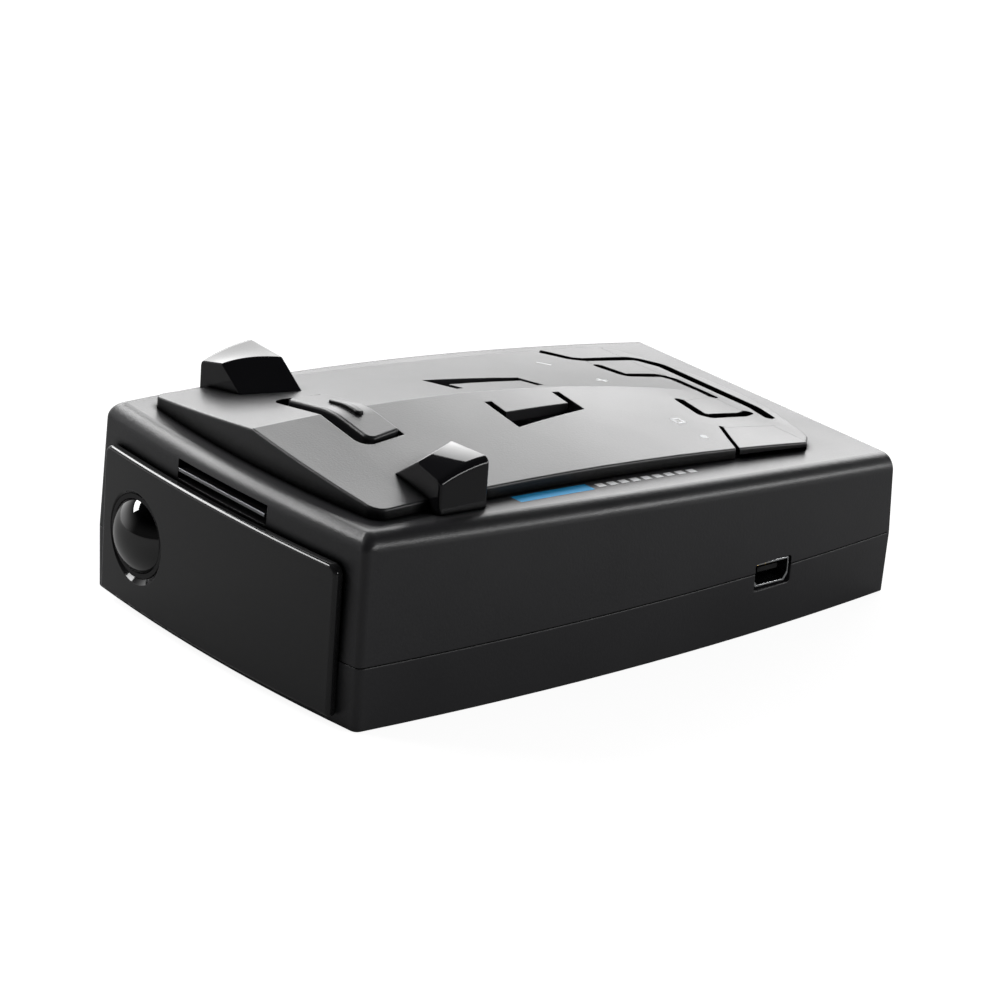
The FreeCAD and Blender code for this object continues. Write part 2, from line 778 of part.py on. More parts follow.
def softened(shape, radius):
    # The tab's ridge, rounded off.
    ridge = []
    for edge in shape.Edges:
        middle = middle_of(edge)
        high = middle.z > crest_height - tab_thickness / 2
        if high and abs(middle.x) < 0.01 and edge.BoundBox.YLength > tab_rib_width / 2:
            ridge.append(edge)
    return shape.makeFillet(radius, ridge)


def make_release_tab():
    outline = tab_outline(tab_front_y, tab_front_half, tab_rear_y, tab_rear_half, tab_corner_radius)
    column = prism(outline, (front_height - wall, crest_height + wall))
    slab = column.common(roof(tab_proud)).cut(roof(tab_proud - tab_thickness)).removeSplitter()
    slab = softened(slab, tab_ridge_radius)
    rim = []
    for edge in slab.Edges:
        middle = middle_of(edge)
        on_top = abs(middle.z - slope_z(middle.x, middle.y) - tab_proud) < 0.35
        on_rear = abs(middle.y - tab_rear_y) < 0.01
        on_ridge = abs(middle.x) < 0.01 and edge.BoundBox.YLength > 1
        if on_top and not on_ridge and not on_rear:
            rim.append(edge)
    slab = slab.makeFillet(tab_edge_radius, rim)
    rib_y = (tab_front_y + tab_rear_y) / 2 + tab_rib_behind
    rib_front = rib_y - tab_rib_width / 2
    rib_rear = rib_y + tab_rib_width / 2
    rib_x = (tab_middle - tab_rib_half, tab_middle + tab_rib_half)
    corners = [(rib_x[0], rib_front), (rib_x[1], rib_front), (rib_x[1], rib_rear), (rib_x[0], rib_rear)]
    bar = rounded_path([(x, y, 0.49 * tab_rib_width) for x, y in corners], True)
    rib = prism(bar, (front_height, crest_height + wall))
    rib = rib.common(roof(tab_proud + tab_rib_height)).cut(roof(tab_proud - tab_rib_width))
    rib = softened(rib.removeSplitter(), tab_rib_ridge_radius)
    top = []
    for edge in rib.Edges:
        middle = middle_of(edge)
        on_top = middle.z > slope_z(middle.x, middle.y) + tab_proud
        if on_top and abs(middle.y - rib_y) > tab_rib_width / 8:
            top.append(edge)
    rib = rib.makeFillet(tab_rib_edge, top)
    barrel_half = tab_rear_half - 0.5
    barrel = rod_along_x(tab_barrel_radius, barrel_half, tab_pivot_y, tab_pivot_z)
    pin_half = tab_rear_half + tab_side_gap + tab_ear
    pin = rod_along_x(tab_pin_radius, pin_half, tab_pivot_y, tab_pivot_z)
    barrel.translate(V(tab_middle, 0, 0))
    pin.translate(V(tab_middle, 0, 0))
    leg_x = (-tab_leg_half, tab_leg_half)
    foot_low = bracket_floor + 0.4
    foot_high = foot_low + tab_hook_height
    leg_top = crest_height + tab_proud - tab_thickness + overlap
    leg = box(leg_x, leg_y, (foot_low, leg_top))
    foot = box(leg_x, (hook_front_y, leg_y[1]), (foot_low, foot_high))
    tooth_back = hook_front_y + 1.2
    tooth = along_x([(hook_front_y, foot_low + overlap), (hook_front_y, foot_high),
                     (tooth_back, foot_high + 0.9), (tooth_back, foot_low + overlap)], leg_x)
    return slab.fuse([rib, barrel, pin, leg, foot, tooth]).removeSplitter()


# ---- Fins ----

def make_right_fin(plate_block):
    front = front_y + fin_front
    rear = front_y + fin_rear

    def corner(place, y):
        return V(place[0], y, crest_height + place[1])

    def along(brow, top, x):
        # The point at x on the line through the brow and the outer corner.
        return brow + (top - brow) * ((x - brow.x) / (top.x - brow.x))

    foot = corner(fin_foot_front, front)
    brow_front = corner(fin_brow_front, front)
    brow_rear = corner(fin_brow_rear, rear)
    outer = fin_top_front[0]
    sections = []
    for x, bulge in zip((foot.x - 3 * wall, outer), fin_bulge):
        front_top = along(brow_front, corner(fin_top_front, front), x)
        rear_top = along(brow_rear, corner(fin_top_rear, rear), x)
        middle = (front_top + rear_top) / 2 + V(0, 0, bulge)
        low = front_height - 3 * wall
        edges = [
            Part.makeLine(V(x, front, low), front_top),
            Part.Arc(front_top, middle, rear_top).toShape(),
            Part.makeLine(rear_top, V(x, rear, low)),
            Part.makeLine(V(x, rear, low), V(x, front, low)),
        ]
        sections.append(Part.Wire(edges))
    fin = Part.makeLoft(sections, True, True)
    normal = (brow_front - foot).cross(brow_rear - foot)
    fin = fin.cut(beyond(foot, normal))
    outer_top = []
    uprights = []
    rim = []
    for edge in fin.Edges:
        if edge.BoundBox.ZMax < foot.z:
            continue
        outside = edge.BoundBox.XMin > outer - 0.01
        if outside and edge.BoundBox.YLength > wall:
            outer_top.append(edge)
        elif outside:
            uprights.append(edge)
        elif edge.BoundBox.XMax > foot.x:
            rim.append(edge)
    fin = rounded(fin, [(fin_edge_radius, outer_top), (fin_upright_radius, uprights),
                        (fin_rim_radius, rim)])
    return fin.cut([plate_block, below_top()])


# ---- Front window and lens ----

def front_arc(y_middle):
    return Part.makeCylinder(front_radius, far, V(0, y_middle + front_radius, -far / 2), up)


window_face_y = nose_y - window_proud


def make_front_window():
    shape = rounded_bar((-window_half, window_half), (window_low, window_high),
                        (window_foot_corner, window_corner), (nose_y - 3 * wall, front_y + wall))
    panel = shape.common(front_arc(window_face_y)).cut(front_arc(nose_y - window_back))
    face_edges = []
    for edge in panel.Edges:
        middle = middle_of(edge)
        depth = math.hypot(middle.x, middle.y - window_face_y - front_radius)
        if abs(depth - front_radius) < 0.01:
            face_edges.append(edge)
    panel = panel.makeFillet(window_edge, face_edges)
    outer_x = (-aperture_half + fit, aperture_half - fit)
    outer_z = (aperture_low + fit, aperture_high - fit)
    inner_x = (outer_x[0] + window_rib, outer_x[1] - window_rib)
    inner_z = (outer_z[0] + window_rib, outer_z[1] - window_rib)
    rib_y = (nose_y - wall, nose_y + window_rib_depth)
    rib = box(outer_x, rib_y, outer_z).cut(box(inner_x, rib_y, inner_z))
    rib = rib.common(front_arc(nose_y - window_back - overlap))
    panel = joined(panel, rib)
    ring_radius = lens_radius + ring_thickness
    bore = rod_along_y(ring_radius + press_gap, far, V(lens_x, lens_face_y - wall, lens_z))
    mouth = Part.makeCone(ring_radius + 2 * ring_bevel, ring_radius, 2 * ring_bevel,
                          V(lens_x, lens_face_y - ring_bevel, lens_z), V(0, 1, 0))
    return panel.cut([bore, mouth])


lens_face_y = window_face_y + front_radius - math.sqrt(front_radius ** 2 - lens_x ** 2)
lens_rim_y = lens_face_y + lens_set_back


def make_lens_ring():
    start = V(lens_x, lens_rim_y - ring_lip, lens_z)
    ring = rod_along_y(lens_radius + ring_thickness, ring_length, start)
    ring = ring.cut(rod_along_y(lens_radius + press_gap, ring_length, start))
    stop_start = start + V(0, ring_length - ring_thickness, 0)
    stop = rod_along_y(lens_radius + 0.1, ring_thickness, stop_start)
    return joined(ring, stop.cut(rod_along_y(lens_radius - ring_stop, far, start)))


def make_laser_lens():
    cap_radius = (lens_radius ** 2 + lens_dome ** 2) / (2 * lens_dome)
    ball = Part.makeSphere(cap_radius, V(lens_x, lens_rim_y - lens_dome + cap_radius, lens_z))
    dome = ball.common(rod_along_y(lens_radius, 2 * lens_dome, V(lens_x, lens_rim_y - 2 * lens_dome, lens_z)))
    barrel_length = ring_length - ring_thickness - ring_lip
    barrel = rod_along_y(lens_radius, barrel_length, V(lens_x, lens_rim_y, lens_z))
    return joined(dome, barrel)


def make_laser_sensor():
    # A small upright board on the main board, with the sensor can behind the lens.
    plate_y = lens_rim_y + ring_length + sensor_gap
    half = lens_radius + 0.1
    board_y = (plate_y, plate_y + key_board_thickness)
    board = box((lens_x - half, lens_x + half), board_y, (board_top, lens_z + half))
    can = rod_along_y(sensor_radius, sensor_depth + overlap, V(lens_x, plate_y - sensor_depth, lens_z))
    return joined(board, can)


# ---- Bracket slot ----

def make_bracket_guide():
    # A tray behind the slot, open to the front, with a hatch in its floor under the tab's hook.
    inner = bracket_half + guide_side_gap
    outer = inner + guide_thickness
    front = front_y + wall + guide_front_gap
    tray = box((-outer, outer), (front, guide_rear_y), (bracket_floor - guide_thickness, front_height))
    inside_y = (front - wall, guide_rear_y - guide_thickness)
    tray = tray.cut(box((-inner, inner), inside_y, (bracket_floor, front_height)))
    tray = tray.common(below_top(-wall - guide_top_gap))
    hatch_x = (-tab_leg_half - 2 * tab_leg_clearance, tab_leg_half + 2 * tab_leg_clearance)
    hatch_y = (hook_front_y - 2 * tab_leg_clearance, leg_y[1] + 3 * tab_leg_clearance)
    return tray.cut(box(hatch_x, hatch_y, (0, bracket_floor + tab_leg_clearance)))


def make_bracket_spring():
    # A leaf folded back on itself: its free upper run shows in the slot.
    front = nose_y + leaf_set_back
    back = front + leaf_depth
    low = bracket_floor
    radius = (leaf_top - low) / 2
    centre = V(0, back, low + radius)

    def fold(r):
        return Part.Arc(centre + V(0, 0, r), centre + V(0, r, 0), centre + V(0, 0, -r)).toShape()

    inner = radius - leaf_thickness
    outer_fold = fold(radius)
    inner_fold = fold(inner)
    foot_y = front + leaf_foot
    edges = [
        Part.makeLine(V(0, front, leaf_top), V(0, back, leaf_top)),
        outer_fold,
        Part.makeLine(V(0, back, low), V(0, foot_y, low)),
        Part.makeLine(V(0, foot_y, low), V(0, foot_y, low + leaf_thickness)),
        Part.makeLine(V(0, foot_y, low + leaf_thickness), V(0, back, low + leaf_thickness)),
        inner_fold,
        Part.makeLine(V(0, back, leaf_top - leaf_thickness), V(0, front, leaf_top - leaf_thickness)),
        Part.makeLine(V(0, front, leaf_top - leaf_thickness), V(0, front, leaf_top)),
    ]
    face = Part.Face(Part.Wire(Part.__sortEdges__(edges)))
    half = bracket_half - leaf_side_gap
    leaf = face.extrude(V(2 * half, 0, 0))
    leaf.translate(V(-half, 0, 0))
    return leaf


# ---- Supply socket ----

def socket_profile(shrink):
    half = socket_width / 2 - shrink
    foot = socket_foot_width / 2 - shrink
    low = -socket_height / 2 + shrink
    high = socket_height / 2 - shrink
    shelf = low + 1.2
    points = [(-foot, low, 0.2), (foot, low, 0.2), (half, shelf, 0.3), (half, high, 0.3),
              (-half, high, 0.3), (-half, shelf, 0.3)]
    return rounded_path(points, True)


def socket_piece(wire, depth, start):
    # Drawn inwards from the mouth of the socket, start behind it.
    piece = prism(wire, (0, depth))
    stand = Placement(V(0, 0, 0), Rotation(V(1, 0, 0), 90))
    turn = Placement(V(socket_mouth_x - start - depth, socket_y, socket_z), Rotation(up, -90))
    piece.Placement = turn.multiply(stand).multiply(Placement(V(0, 0, -depth), Rotation()))
    return piece


socket_mouth_x = side_x(socket_y, socket_z) - socket_set_back


def make_usb_shell():
    tube = socket_piece(socket_profile(0), socket_length, 0)
    return tube.cut(socket_piece(socket_profile(socket_wall), socket_length - socket_wall, 0))


def make_usb_insert():
    back = socket_piece(socket_profile(socket_wall), 2.0, socket_length - socket_wall - 2.0)
    tongue = box((socket_mouth_x - socket_length + 1.5, socket_mouth_x - 0.8),
                 (socket_y - 2.1, socket_y + 2.1), (socket_z + 0.1, socket_z + 0.9))
    return joined(back, tongue)


# ---- Boards and what they carry ----

def make_main_board():
    board = walls((board_low, board_top), wall + board_margin)
    keep = box((-far, far), (front_y + 8.0, rear_y - 2 * wall), (0, far))
    board = board.common(keep)
    cuts = [post(x, y, (0, far), post_radius + 0.4) for x, y in screw_places]
    cuts += [post(x, y, (0, far), screw_radius + screw_clearance) for x, y in board_places]
    return board.cut(cuts)


def make_main_chips():
    # Each place is (middle x, middle y, half its side); the last two stand before the display.
    before_display = rear_y - 2 * wall - display_module_depth
    places = [(-18.0, -12.0, 7.0), (-20.0, 8.0, 5.0),
              (-4.0, before_display - 8.0, 6.0), (14.0, before_display - 5.0, 4.0)]
    chips = []
    for x, y, half in places:
        chips.append(box((x - half, x + half), (y - half, y + half), (board_top, board_top + chip_height)))
    return Part.makeCompound(chips)


def make_shield_can():
    x = (shield_corner[0], shield_corner[0] + shield_size[0])
    y = (shield_corner[1], shield_corner[1] + shield_size[1])
    can = box(x, y, (board_top, board_top + shield_size[2]))
    inside_x = (x[0] + shield_wall, x[1] - shield_wall)
    inside_y = (y[0] + shield_wall, y[1] - shield_wall)
    return can.cut(box(inside_x, inside_y, (board_top, board_top + shield_size[2] - shield_wall)))


def screw(x, y, head_z, length, head_radius, head_height, points_up):
    # A pan-head screw: the head's bearing face is at head_z.
    side = 1 if points_up else -1
    axis = V(0, 0, side)
    shank = Part.makeCylinder(screw_radius, length, V(x, y, head_z), axis)
    head = Part.makeCylinder(head_radius, head_height, V(x, y, head_z), axis * -1)
    head_end = head_z - side * head_height
    recess = sorted((head_end - side * wall, head_end + side * 0.6 * head_height))
    blade = box((x - 0.25, x + 0.25), (y - 1.1 * screw_radius, y + 1.1 * screw_radius), recess)
    cross = blade.copy()
    cross.rotate(V(x, y, 0), up, 90)
    return joined(head, shank).cut([blade, cross])


def make_case_screws():
    return Part.makeCompound([
        screw(x, y, screw_recess, screw_length, screw_head_radius, screw_head_height, True)
        for x, y in screw_places])


def make_board_screws():
    screws = []
    for x, y in board_places:
        screws.append(screw(x, y, board_top, *board_screw, False))
    low = key_board_top - key_board_thickness
    for x, y in key_post_places:
        screws.append(screw(x, y, low, *board_screw, True))
    return Part.makeCompound(screws)


def make_key_board():
    low = key_board_top - key_board_thickness
    x = (key_stem_x[0] - switch_side, key_stem_x[-1] + switch_side)
    y = (key_stem_y - key_board_ahead, key_stem_y + key_board_behind)
    board = box(x, y, (low, key_board_top))
    cuts = [post(px, py, (0, far), screw_radius + screw_clearance) for px, py in key_post_places]
    return board.cut(cuts)


def make_key_switches():
    switches = []
    half = switch_side / 2
    high = key_board_top + switch_height
    for x in key_stem_x:
        case = box((x - half, x + half), (key_stem_y - half, key_stem_y + half), (key_board_top, high))
        button = post(x, key_stem_y, (high - overlap, key_stem_end - switch_gap), switch_button_radius)
        switches.append(joined(case, button))
    return Part.makeCompound(switches)


def make_key_ribbon():
    # A flat ribbon that leaves the key board, turns down and ends on the main board.
    half = ribbon_thickness / 2
    high = key_board_top - key_board_thickness - half
    low = board_top + half
    start = key_stem_y - 2.0
    drop = start - ribbon_foot
    path = [(start, high, 0), (drop, high, ribbon_bend), (drop, low, ribbon_bend), (drop - ribbon_foot, low, 0)]
    strip = rounded_path(path, False).makeOffset2D(half)
    ribbon = prism(strip, ribbon_x)
    ribbon.Placement = Placement(V(0, 0, 0), Rotation(V(1, 1, 1), 120))
    return ribbon


# ---- Radar receiver ----

def horn_loft(grow):
    mouth_y = nose_y + horn_set_back
    low = board_top + horn_lift + horn_wall
    mouth = (horn_mouth_width, bracket_floor - guide_thickness - horn_gap - horn_wall - low)
    middle_z = low + mouth[1] / 2
    wires = []
    for (width, height), y in ((mouth, mouth_y), (horn_throat, mouth_y + horn_length)):
        x = width / 2 + grow
        z = height / 2 + grow
        corners = [V(horn_x - x, y, middle_z - z), V(horn_x + x, y, middle_z - z),
                   V(horn_x + x, y, middle_z + z), V(horn_x - x, y, middle_z + z)]
        wires.append(Part.makePolygon(corners + corners[:1]))
    return Part.makeLoft(wires, True, True)


def make_horn():
    horn = horn_loft(horn_wall).cut(horn_loft(0.0))
    y = nose_y + horn_set_back + horn_length / 2
    foot = box((horn_x - 4, horn_x + 4), (y - 3, y + 3), (board_top, board_top + horn_lift + horn_wall * 3))
    foot = foot.cut(horn_loft(horn_wall / 2))
    return joined(horn, foot)


def make_mixer():
    start = nose_y + horn_set_back + horn_length
    x = (horn_x - mixer_width / 2, horn_x + mixer_width / 2)
    y = (start, start + mixer_length)
    high = speaker_top - speaker_depth - mixer_gap
    block = box(x, y, (board_top, high))
    return block.cut(box((x[0] + 1.5, x[1] - 1.5), (y[0] + 1.5, y[1] - 1.5), (high - 0.2, high)))


# ---- Speaker ----

def make_speaker_frame():
    rim = post(0, 0, (speaker_top - speaker_rim, speaker_top), speaker_radius)
    basket = Part.makeCone(magnet_radius + 1.5, speaker_radius - 1.5, speaker_depth - speaker_rim,
                           V(0, 0, speaker_top - speaker_depth), up)
    hollow = Part.makeCone(magnet_radius + 0.5, speaker_radius - 1.6, speaker_depth - 0.8 + overlap,
                           V(0, 0, speaker_top - speaker_depth + 0.8), up)
    return joined(rim, basket).cut(hollow)


def make_speaker_cone():
    base = speaker_top - speaker_depth + 0.8
    outer = Part.makeCone(3.0, speaker_radius - 2.8, speaker_depth - 1.3, V(0, 0, base), up)
    inner = Part.makeCone(2.6, speaker_radius - 3.2, speaker_depth - 1.3, V(0, 0, base + 0.4), up)
    cap = Part.makeSphere(3.6, V(0, 0, base - 0.6)).common(outer)
    return joined(outer.cut(inner), cap)


def make_speaker_magnet():
    top = speaker_top - speaker_depth
    return post(0, 0, (top - magnet_height, top), magnet_radius)


def make_speaker_cloth():
    return post(0, 0, (speaker_top, speaker_top + cloth_thickness), speaker_radius - 0.2)


# ---- Display ----

def make_display_window():
    face = rear_y - display_set_back - (display_low - seam_height) * lean
    back = rear_y - display_thickness - display_set_back - case_top[0] * lean
    return display_seat(0, (back, face - (display_high - display_low) * lean))


def make_display_module():
    back = rear_y - 2 * wall
    x = (-display_half + 1.0, display_half - 1.0)
    return box(x, (back - display_module_depth, back), (board_top, display_high - 0.3))


# ---- Write every piece ----

def main():
    os.makedirs("parts", exist_ok=True)
    plate, keys, plate_block = make_plate_and_keys()
    right_fin = make_right_fin(plate_block)
    pieces = {
        "upper_shell": make_upper_shell(),
        "lower_shell": make_lower_shell(),
        "top_plate": plate,
        "release_tab": make_release_tab(),
        "right_fin": right_fin,
        "left_fin": mirrored(right_fin),
        "front_window": make_front_window(),
        "lens_ring": make_lens_ring(),
        "laser_lens": make_laser_lens(),
        "laser_sensor": make_laser_sensor(),
        "bracket_guide": make_bracket_guide(),
        "bracket_spring": make_bracket_spring(),
        "usb_shell": make_usb_shell(),
        "usb_insert": make_usb_insert(),
        "main_board": make_main_board(),
        "main_chips": make_main_chips(),
        "shield_can": make_shield_can(),
        "case_screws": make_case_screws(),
        "board_screws": make_board_screws(),
        "key_board": make_key_board(),
        "key_switches": make_key_switches(),
        "key_ribbon": make_key_ribbon(),
        "horn_antenna": make_horn(),
        "mixer_block": make_mixer(),
        "speaker_frame": make_speaker_frame(),
        "speaker_cone": make_speaker_cone(),
        "speaker_magnet": make_speaker_magnet(),
        "speaker_cloth": make_speaker_cloth(),
        "display_window": make_display_window(),
        "display_module": make_display_module(),
    }
    for number, key in enumerate(keys, 1):
        pieces["key_%d" % number] = key
    for name, shape in pieces.items():
        state = "valid" if shape.isValid() else "NOT VALID"
        print("%-16s %d solid(s), %s, %.1f mm3" % (name, len(shape.Solids), state, shape.Volume))
        shape.exportStep("parts/%s.step" % name)


main()
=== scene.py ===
import math

import bmesh
import bpy
from mathutils import Matrix, Vector
from mathutils.bvhtree import BVHTree


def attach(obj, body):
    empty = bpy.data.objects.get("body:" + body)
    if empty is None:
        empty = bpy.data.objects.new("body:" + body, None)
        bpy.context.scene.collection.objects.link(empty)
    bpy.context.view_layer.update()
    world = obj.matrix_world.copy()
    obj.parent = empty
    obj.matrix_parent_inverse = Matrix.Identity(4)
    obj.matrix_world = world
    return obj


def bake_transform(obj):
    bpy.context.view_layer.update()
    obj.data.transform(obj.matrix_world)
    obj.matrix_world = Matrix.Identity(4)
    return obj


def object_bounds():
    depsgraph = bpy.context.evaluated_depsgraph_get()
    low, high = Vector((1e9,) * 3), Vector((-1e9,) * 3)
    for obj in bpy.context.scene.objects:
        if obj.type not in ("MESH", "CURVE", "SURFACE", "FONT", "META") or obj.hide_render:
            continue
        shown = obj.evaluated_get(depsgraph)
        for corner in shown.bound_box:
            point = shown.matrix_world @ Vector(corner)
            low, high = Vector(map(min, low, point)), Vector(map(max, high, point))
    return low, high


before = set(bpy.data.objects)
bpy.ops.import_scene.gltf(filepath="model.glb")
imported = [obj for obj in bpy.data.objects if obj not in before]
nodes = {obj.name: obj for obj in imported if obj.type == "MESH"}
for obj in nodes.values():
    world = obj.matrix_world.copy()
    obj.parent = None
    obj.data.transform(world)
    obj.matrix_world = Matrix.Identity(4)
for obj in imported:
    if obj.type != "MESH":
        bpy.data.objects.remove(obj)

mm = 0.001
cadLow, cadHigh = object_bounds()


# small helpers

def hexColour(text):
    # sRGB hex to the linear colour that a shader wants
    parts = [int(text[i:i + 2], 16) / 255 for i in (1, 3, 5)]
    linear = [c / 12.92 if c <= 0.04045 else ((c + 0.055) / 1.055) ** 2.4 for c in parts]
    return (*linear, 1.0)


def addNode(tree, kind, settings=None, links=None):
    # settings fill sockets by name or number, or else plain properties; links say which output feeds a socket
    node = tree.nodes.new(kind)
    for name, value in (settings or {}).items():
        if isinstance(name, int) or name in node.inputs:
            node.inputs[name].default_value = value
        else:
            setattr(node, name, value)
    for name, source in (links or {}).items():
        tree.links.new(source, node.inputs[name])
    return node


def direction(azimuth, elevation):
    # azimuth 0 is straight ahead of the front, 90 is the socket side
    a, e = math.radians(azimuth), math.radians(elevation)
    return Vector((math.sin(a) * math.cos(e), -math.cos(a) * math.cos(e), math.sin(e)))


def newMaterial(name):
    # an empty material with its output, shader and object coordinates
    material = bpy.data.materials.new(name)
    material.use_nodes = True
    tree = material.node_tree
    tree.nodes.clear()
    output = addNode(tree, "ShaderNodeOutputMaterial")
    shader = addNode(tree, "ShaderNodeBsdfPrincipled")
    tree.links.new(shader.outputs["BSDF"], output.inputs["Surface"])
    place = addNode(tree, "ShaderNodeTexCoord").outputs["Object"]
    return material, tree, shader, place


def setSockets(shader, values):
    for name, value in values.items():
        shader.inputs[name].default_value = value


def scaleFor(sizeMm):
    # how many noise features fit in a metre
    return 1 / (sizeMm * mm)


def dress(material, *names):
    for name in names:
        mesh = nodes[name].data
        mesh.materials.clear()
        mesh.materials.append(material)


# materials

# painted shade: how open a spot is to its surroundings; below "closed" it takes the dark colour, above "open"
# its own
paintedGapShade = {"closed": 0.55, "open": 0.96, "dark": "#020202"}


def mouldedPlastic(name, look):
    # Injection-moulded plastic: grain pressed in by the tool, slow drift in gloss from flow and handling,
    # edges a little rounded, and painted shade that darkens colour and reflection in gaps and hollows.
    material, tree, shader, place = newMaterial(name)
    setSockets(shader, {"IOR": look["ior"]})
    grain = addNode(tree, "ShaderNodeTexNoise",
                    {"Scale": scaleFor(look["grainMm"]), "Detail": 3.0, "Roughness": 0.6}, {"Vector": place})
    drift = addNode(tree, "ShaderNodeTexNoise",
                    {"Scale": scaleFor(look["driftMm"]), "Detail": 2.0}, {"Vector": place})
    mixed = addNode(tree, "ShaderNodeMix", {"data_type": "RGBA"}, {0: drift.outputs["Fac"]})
    mixed.inputs[6].default_value = hexColour(look["dark"])
    mixed.inputs[7].default_value = hexColour(look["light"])
    # painted shade: ambient occlusion darkens the base colour in gaps, slots and hollows
    around = addNode(tree, "ShaderNodeAmbientOcclusion", {"Distance": look["paintedShadeMm"] * mm, "samples": 6})
    clear = addNode(tree, "ShaderNodeMapRange",
                    {"interpolation_type": "SMOOTHSTEP", "From Min": paintedGapShade["closed"],
                     "From Max": paintedGapShade["open"]}, {"Value": around.outputs["AO"]})
    paintedShadeColour = addNode(tree, "ShaderNodeMix", {"data_type": "RGBA"},
                     {0: clear.outputs["Result"], 7: mixed.outputs[2]})
    paintedShadeColour.inputs[6].default_value = hexColour(paintedGapShade["dark"])
    tree.links.new(paintedShadeColour.outputs[2], shader.inputs["Base Color"])
    # painted shade: the reflection is cut back in the same gaps
    sheen = addNode(tree, "ShaderNodeMath", {"operation": "MULTIPLY", 1: look["specular"]},
                    {0: clear.outputs["Result"]})
    tree.links.new(sheen.outputs["Value"], shader.inputs["Specular IOR Level"])
    gloss = addNode(tree, "ShaderNodeMapRange",
                    {"From Min": 0.3, "From Max": 0.7, "To Min": look["roughness"] - look["glossDrift"],
                     "To Max": look["roughness"] + look["glossDrift"]}, {"Value": drift.outputs["Fac"]})
    tree.links.new(gloss.outputs["Result"], shader.inputs["Roughness"])
    edge = addNode(tree, "ShaderNodeBevel", {"samples": 6, "Radius": look["edgeMm"] * mm})
    bump = addNode(tree, "ShaderNodeBump",
                   {"Strength": look["grainStrength"], "Distance": look["grainDepthMm"] * mm},
                   {"Height": grain.outputs["Fac"], "Normal": edge.outputs["Normal"]})
    tree.links.new(bump.outputs["Normal"], shader.inputs["Normal"])
    return material


# each look also sets how far the painted shade reaches into gaps and hollows
# black ABS from a spark-eroded tool: matte, with a fine even grain that greys at a low angle
caseLook = {"dark": "#242426", "light": "#2a2a2c", "ior": 1.53, "specular": 0.45, "roughness": 0.36,
            "glossDrift": 0.03, "grainMm": 0.45, "grainDepthMm": 0.03, "grainStrength": 0.7, "driftMm": 22,
            "paintedShadeMm": 1.5, "edgeMm": 0.15}
# the same ABS from a finer tool: a little smoother, so the slopes catch a clear sheen
plateLook = {"dark": "#1c1c1e", "light": "#222224", "ior": 1.53, "specular": 0.5, "roughness": 0.34,
             "glossDrift": 0.02, "grainMm": 0.35, "grainDepthMm": 0.03, "grainStrength": 0.7, "driftMm": 18,
             "paintedShadeMm": 3.5, "edgeMm": 0.22}
# polished ABS: piano black, mirror-like, with only the faint waviness of moulding
finLook = {"dark": "#121214", "light": "#161618", "ior": 1.54, "specular": 0.32, "roughness": 0.06,
           "glossDrift": 0.015, "grainMm": 5.0, "grainDepthMm": 0.02, "grainStrength": 0.05, "driftMm": 8,
           "paintedShadeMm": 1.0, "edgeMm": 0.15}
# polished polycarbonate that passes infrared: near black, glossy and dead flat
windowLook = {"dark": "#1e1e1f", "light": "#232324", "ior": 1.58, "specular": 0.38, "roughness": 0.09,
              "glossDrift": 0.02, "grainMm": 9.0, "grainDepthMm": 0.02, "grainStrength": 0.04, "driftMm": 25,
              "paintedShadeMm": 1.0, "edgeMm": 0.15}
# unpolished natural-black moulding on the inside, seen only through openings
innerLook = {"dark": "#0b0b0c", "light": "#101011", "ior": 1.53, "specular": 0.4, "roughness": 0.6,
             "glossDrift": 0.05, "grainMm": 0.6, "grainDepthMm": 0.03, "grainStrength": 0.3, "driftMm": 10,
             "paintedShadeMm": 3.0, "edgeMm": 0.1}


def castLens(look):
    # Tinted acrylic cast to an optical finish: a dark bead with a sharp highlight, dulled a little by smears.
    material, tree, shader, place = newMaterial("castAcrylicLens")
    setSockets(shader, {"Base Color": hexColour(look["tint"]), "IOR": look["ior"],
                        "Transmission Weight": look["transmission"], "Coat Weight": 1.0})
    smear = addNode(tree, "ShaderNodeTexNoise", {"Scale": scaleFor(look["smearMm"]), "Detail": 3.0},
                    {"Vector": place})
    gloss = addNode(tree, "ShaderNodeMapRange",
                    {"From Min": 0.45, "From Max": 0.75, "To Min": look["clean"], "To Max": look["smeared"]},
                    {"Value": smear.outputs["Fac"]})
    tree.links.new(gloss.outputs["Result"], shader.inputs["Roughness"])
    return material


lensLook = {"tint": "#030304", "ior": 1.49, "transmission": 0.05, "smearMm": 3,
            "clean": 0.02, "smeared": 0.05}


# what every metal here shares: how the gloss drifts, how deep the lines are and how round the edges
metalSet = {"glossDrift": 0.06, "bump": 0.2, "depthMm": 0.01, "edgeMm": 0.12}


